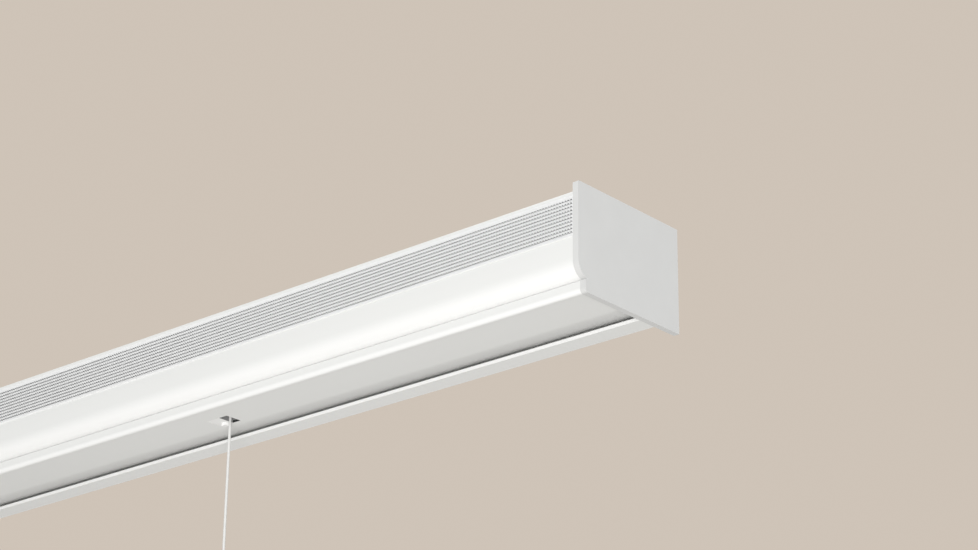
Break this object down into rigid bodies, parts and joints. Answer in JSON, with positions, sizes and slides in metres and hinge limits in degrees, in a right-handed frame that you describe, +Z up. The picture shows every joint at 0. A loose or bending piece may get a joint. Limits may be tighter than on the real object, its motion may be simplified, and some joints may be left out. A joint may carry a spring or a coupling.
{
  "type": "blind headrail",
  "caption": "White aluminium headrail of a Roman blind with hook tape, flat end plates, lift drums and cords, a battery drive and snap-in ceiling or wall brackets.",
  "frame": {"origin": "centre of the four ceiling screw holes, on the ceiling plane (top of the brackets and end plates)", "axes": "+X along the rail towards the bearing end that the picture shows, +Y back to the wall, +Z up to the ceiling"},
  "size_m": [0.9, 0.0749, 0.143],
  "materials": {
    "rail_white": "satin white powder coat on aluminium extrusion",
    "tape_white": "white nylon hook tape",
    "plate_white": "fine matt white moulded plastic",
    "motor_case": "satin anodised tube",
    "motor_head": "white moulded plastic",
    "socket_metal": "plated socket shell",
    "cradle_white": "white moulded plastic",
    "shaft_steel": "drawn steel bar, zinc plated",
    "bearing_acetal": "natural acetal",
    "coupling_black": "black glass filled plastic",
    "collar_zinc": "turned, zinc plated",
    "screw_steel": "black oxide steel",
    "button_grey": "smooth moulded plastic",
    "bracket_steel": "zinc plated pressed steel",
    "rivet_steel": "plated rivet",
    "lever_steel": "zinc plated",
    "keeper_clear": "light grey moulded plastic",
    "eyelet_acetal": "smooth grey acetal",
    "cord_white": "braided polyester cord",
    "drum_acetal": "smooth natural acetal",
    "anchor_grey": "moulded plug",
    "fitting_white": "smooth white moulded plastic"
  },
  "bodies": {
    "headrail": {"rail_profile": "rail_white", "hook_tape": "tape_white", "end_plate_right": "plate_white", "end_plate_left": "plate_white", "motor_tube": "motor_case", "motor_head": "motor_head", "charge_socket": "socket_metal", "motor_saddle_outer": "cradle_white", "motor_saddle_inner": "cradle_white", "mounting_bracket_right": "bracket_steel", "lever_rivet_right": "rivet_steel", "drum_cradle_right": "cradle_white", "drum_keeper_right": "keeper_clear", "cord_eyelet_right": "eyelet_acetal", "lift_cord_right": "cord_white", "mounting_bracket_left": "bracket_steel", "lever_rivet_left": "rivet_steel", "drum_cradle_left": "cradle_white", "drum_keeper_left": "keeper_clear", "cord_eyelet_left": "eyelet_acetal", "lift_cord_left": "cord_white"},
    "lift_shaft": {"drive_shaft": "shaft_steel", "shaft_end_bush": "bearing_acetal", "motor_output_coupling": "coupling_black", "shaft_collars": "collar_zinc", "collar_grub_screws": "screw_steel", "cord_drum_right": "drum_acetal", "cord_anchor_right": "anchor_grey", "wound_cord_right": "cord_white", "cord_drum_left": "drum_acetal", "cord_anchor_left": "anchor_grey", "wound_cord_left": "cord_white"},
    "cord_end_right": {"cord_end_fitting_right": "fitting_white"},
    "lever_right": {"lock_lever_right": "lever_steel"},
    "cord_end_left": {"cord_end_fitting_left": "fitting_white"},
    "lever_left": {"lock_lever_left": "lever_steel"},
    "button": {"setting_button": "button_grey"}
  },
  "joints": [
    {"name": "shaft_turn", "type": "hinge", "parent": "headrail", "child": "lift_shaft", "pos_m": [0, -0.0247, -0.0265], "axis": [1, 0, 0], "range_deg": [0, 343.7]},
    {"name": "cord_right_raise", "type": "slide", "parent": "headrail", "child": "cord_end_right", "axis": [0, 0, 1], "range_m": [0, 0.066], "deforming": ["lift_cord_right"]},
    {"name": "lever_right_swivel", "type": "hinge", "parent": "headrail", "child": "lever_right", "pos_m": [0.344, -0.003, -0.005], "axis": [0, 0, -1], "range_deg": [0, 90]},
    {"name": "cord_left_raise", "type": "slide", "parent": "headrail", "child": "cord_end_left", "axis": [0, 0, 1], "range_m": [0, 0.066], "deforming": ["lift_cord_left"]},
    {"name": "lever_left_swivel", "type": "hinge", "parent": "headrail", "child": "lever_left", "pos_m": [-0.316, -0.003, -0.005], "axis": [0, 0, -1], "range_deg": [0, 90]},
    {"name": "button_press", "type": "slide", "parent": "headrail", "child": "button", "axis": [0, 0, 1], "range_m": [0, 0.001], "stiffness_N_per_m": 300, "springref_m": -0.0005}
  ],
  "couplings": [
    {"joint": "cord_right_raise", "follows": "shaft_turn", "m_per_rad": 0.011},
    {"joint": "cord_left_raise", "follows": "shaft_turn", "m_per_rad": 0.011}
  ]
}
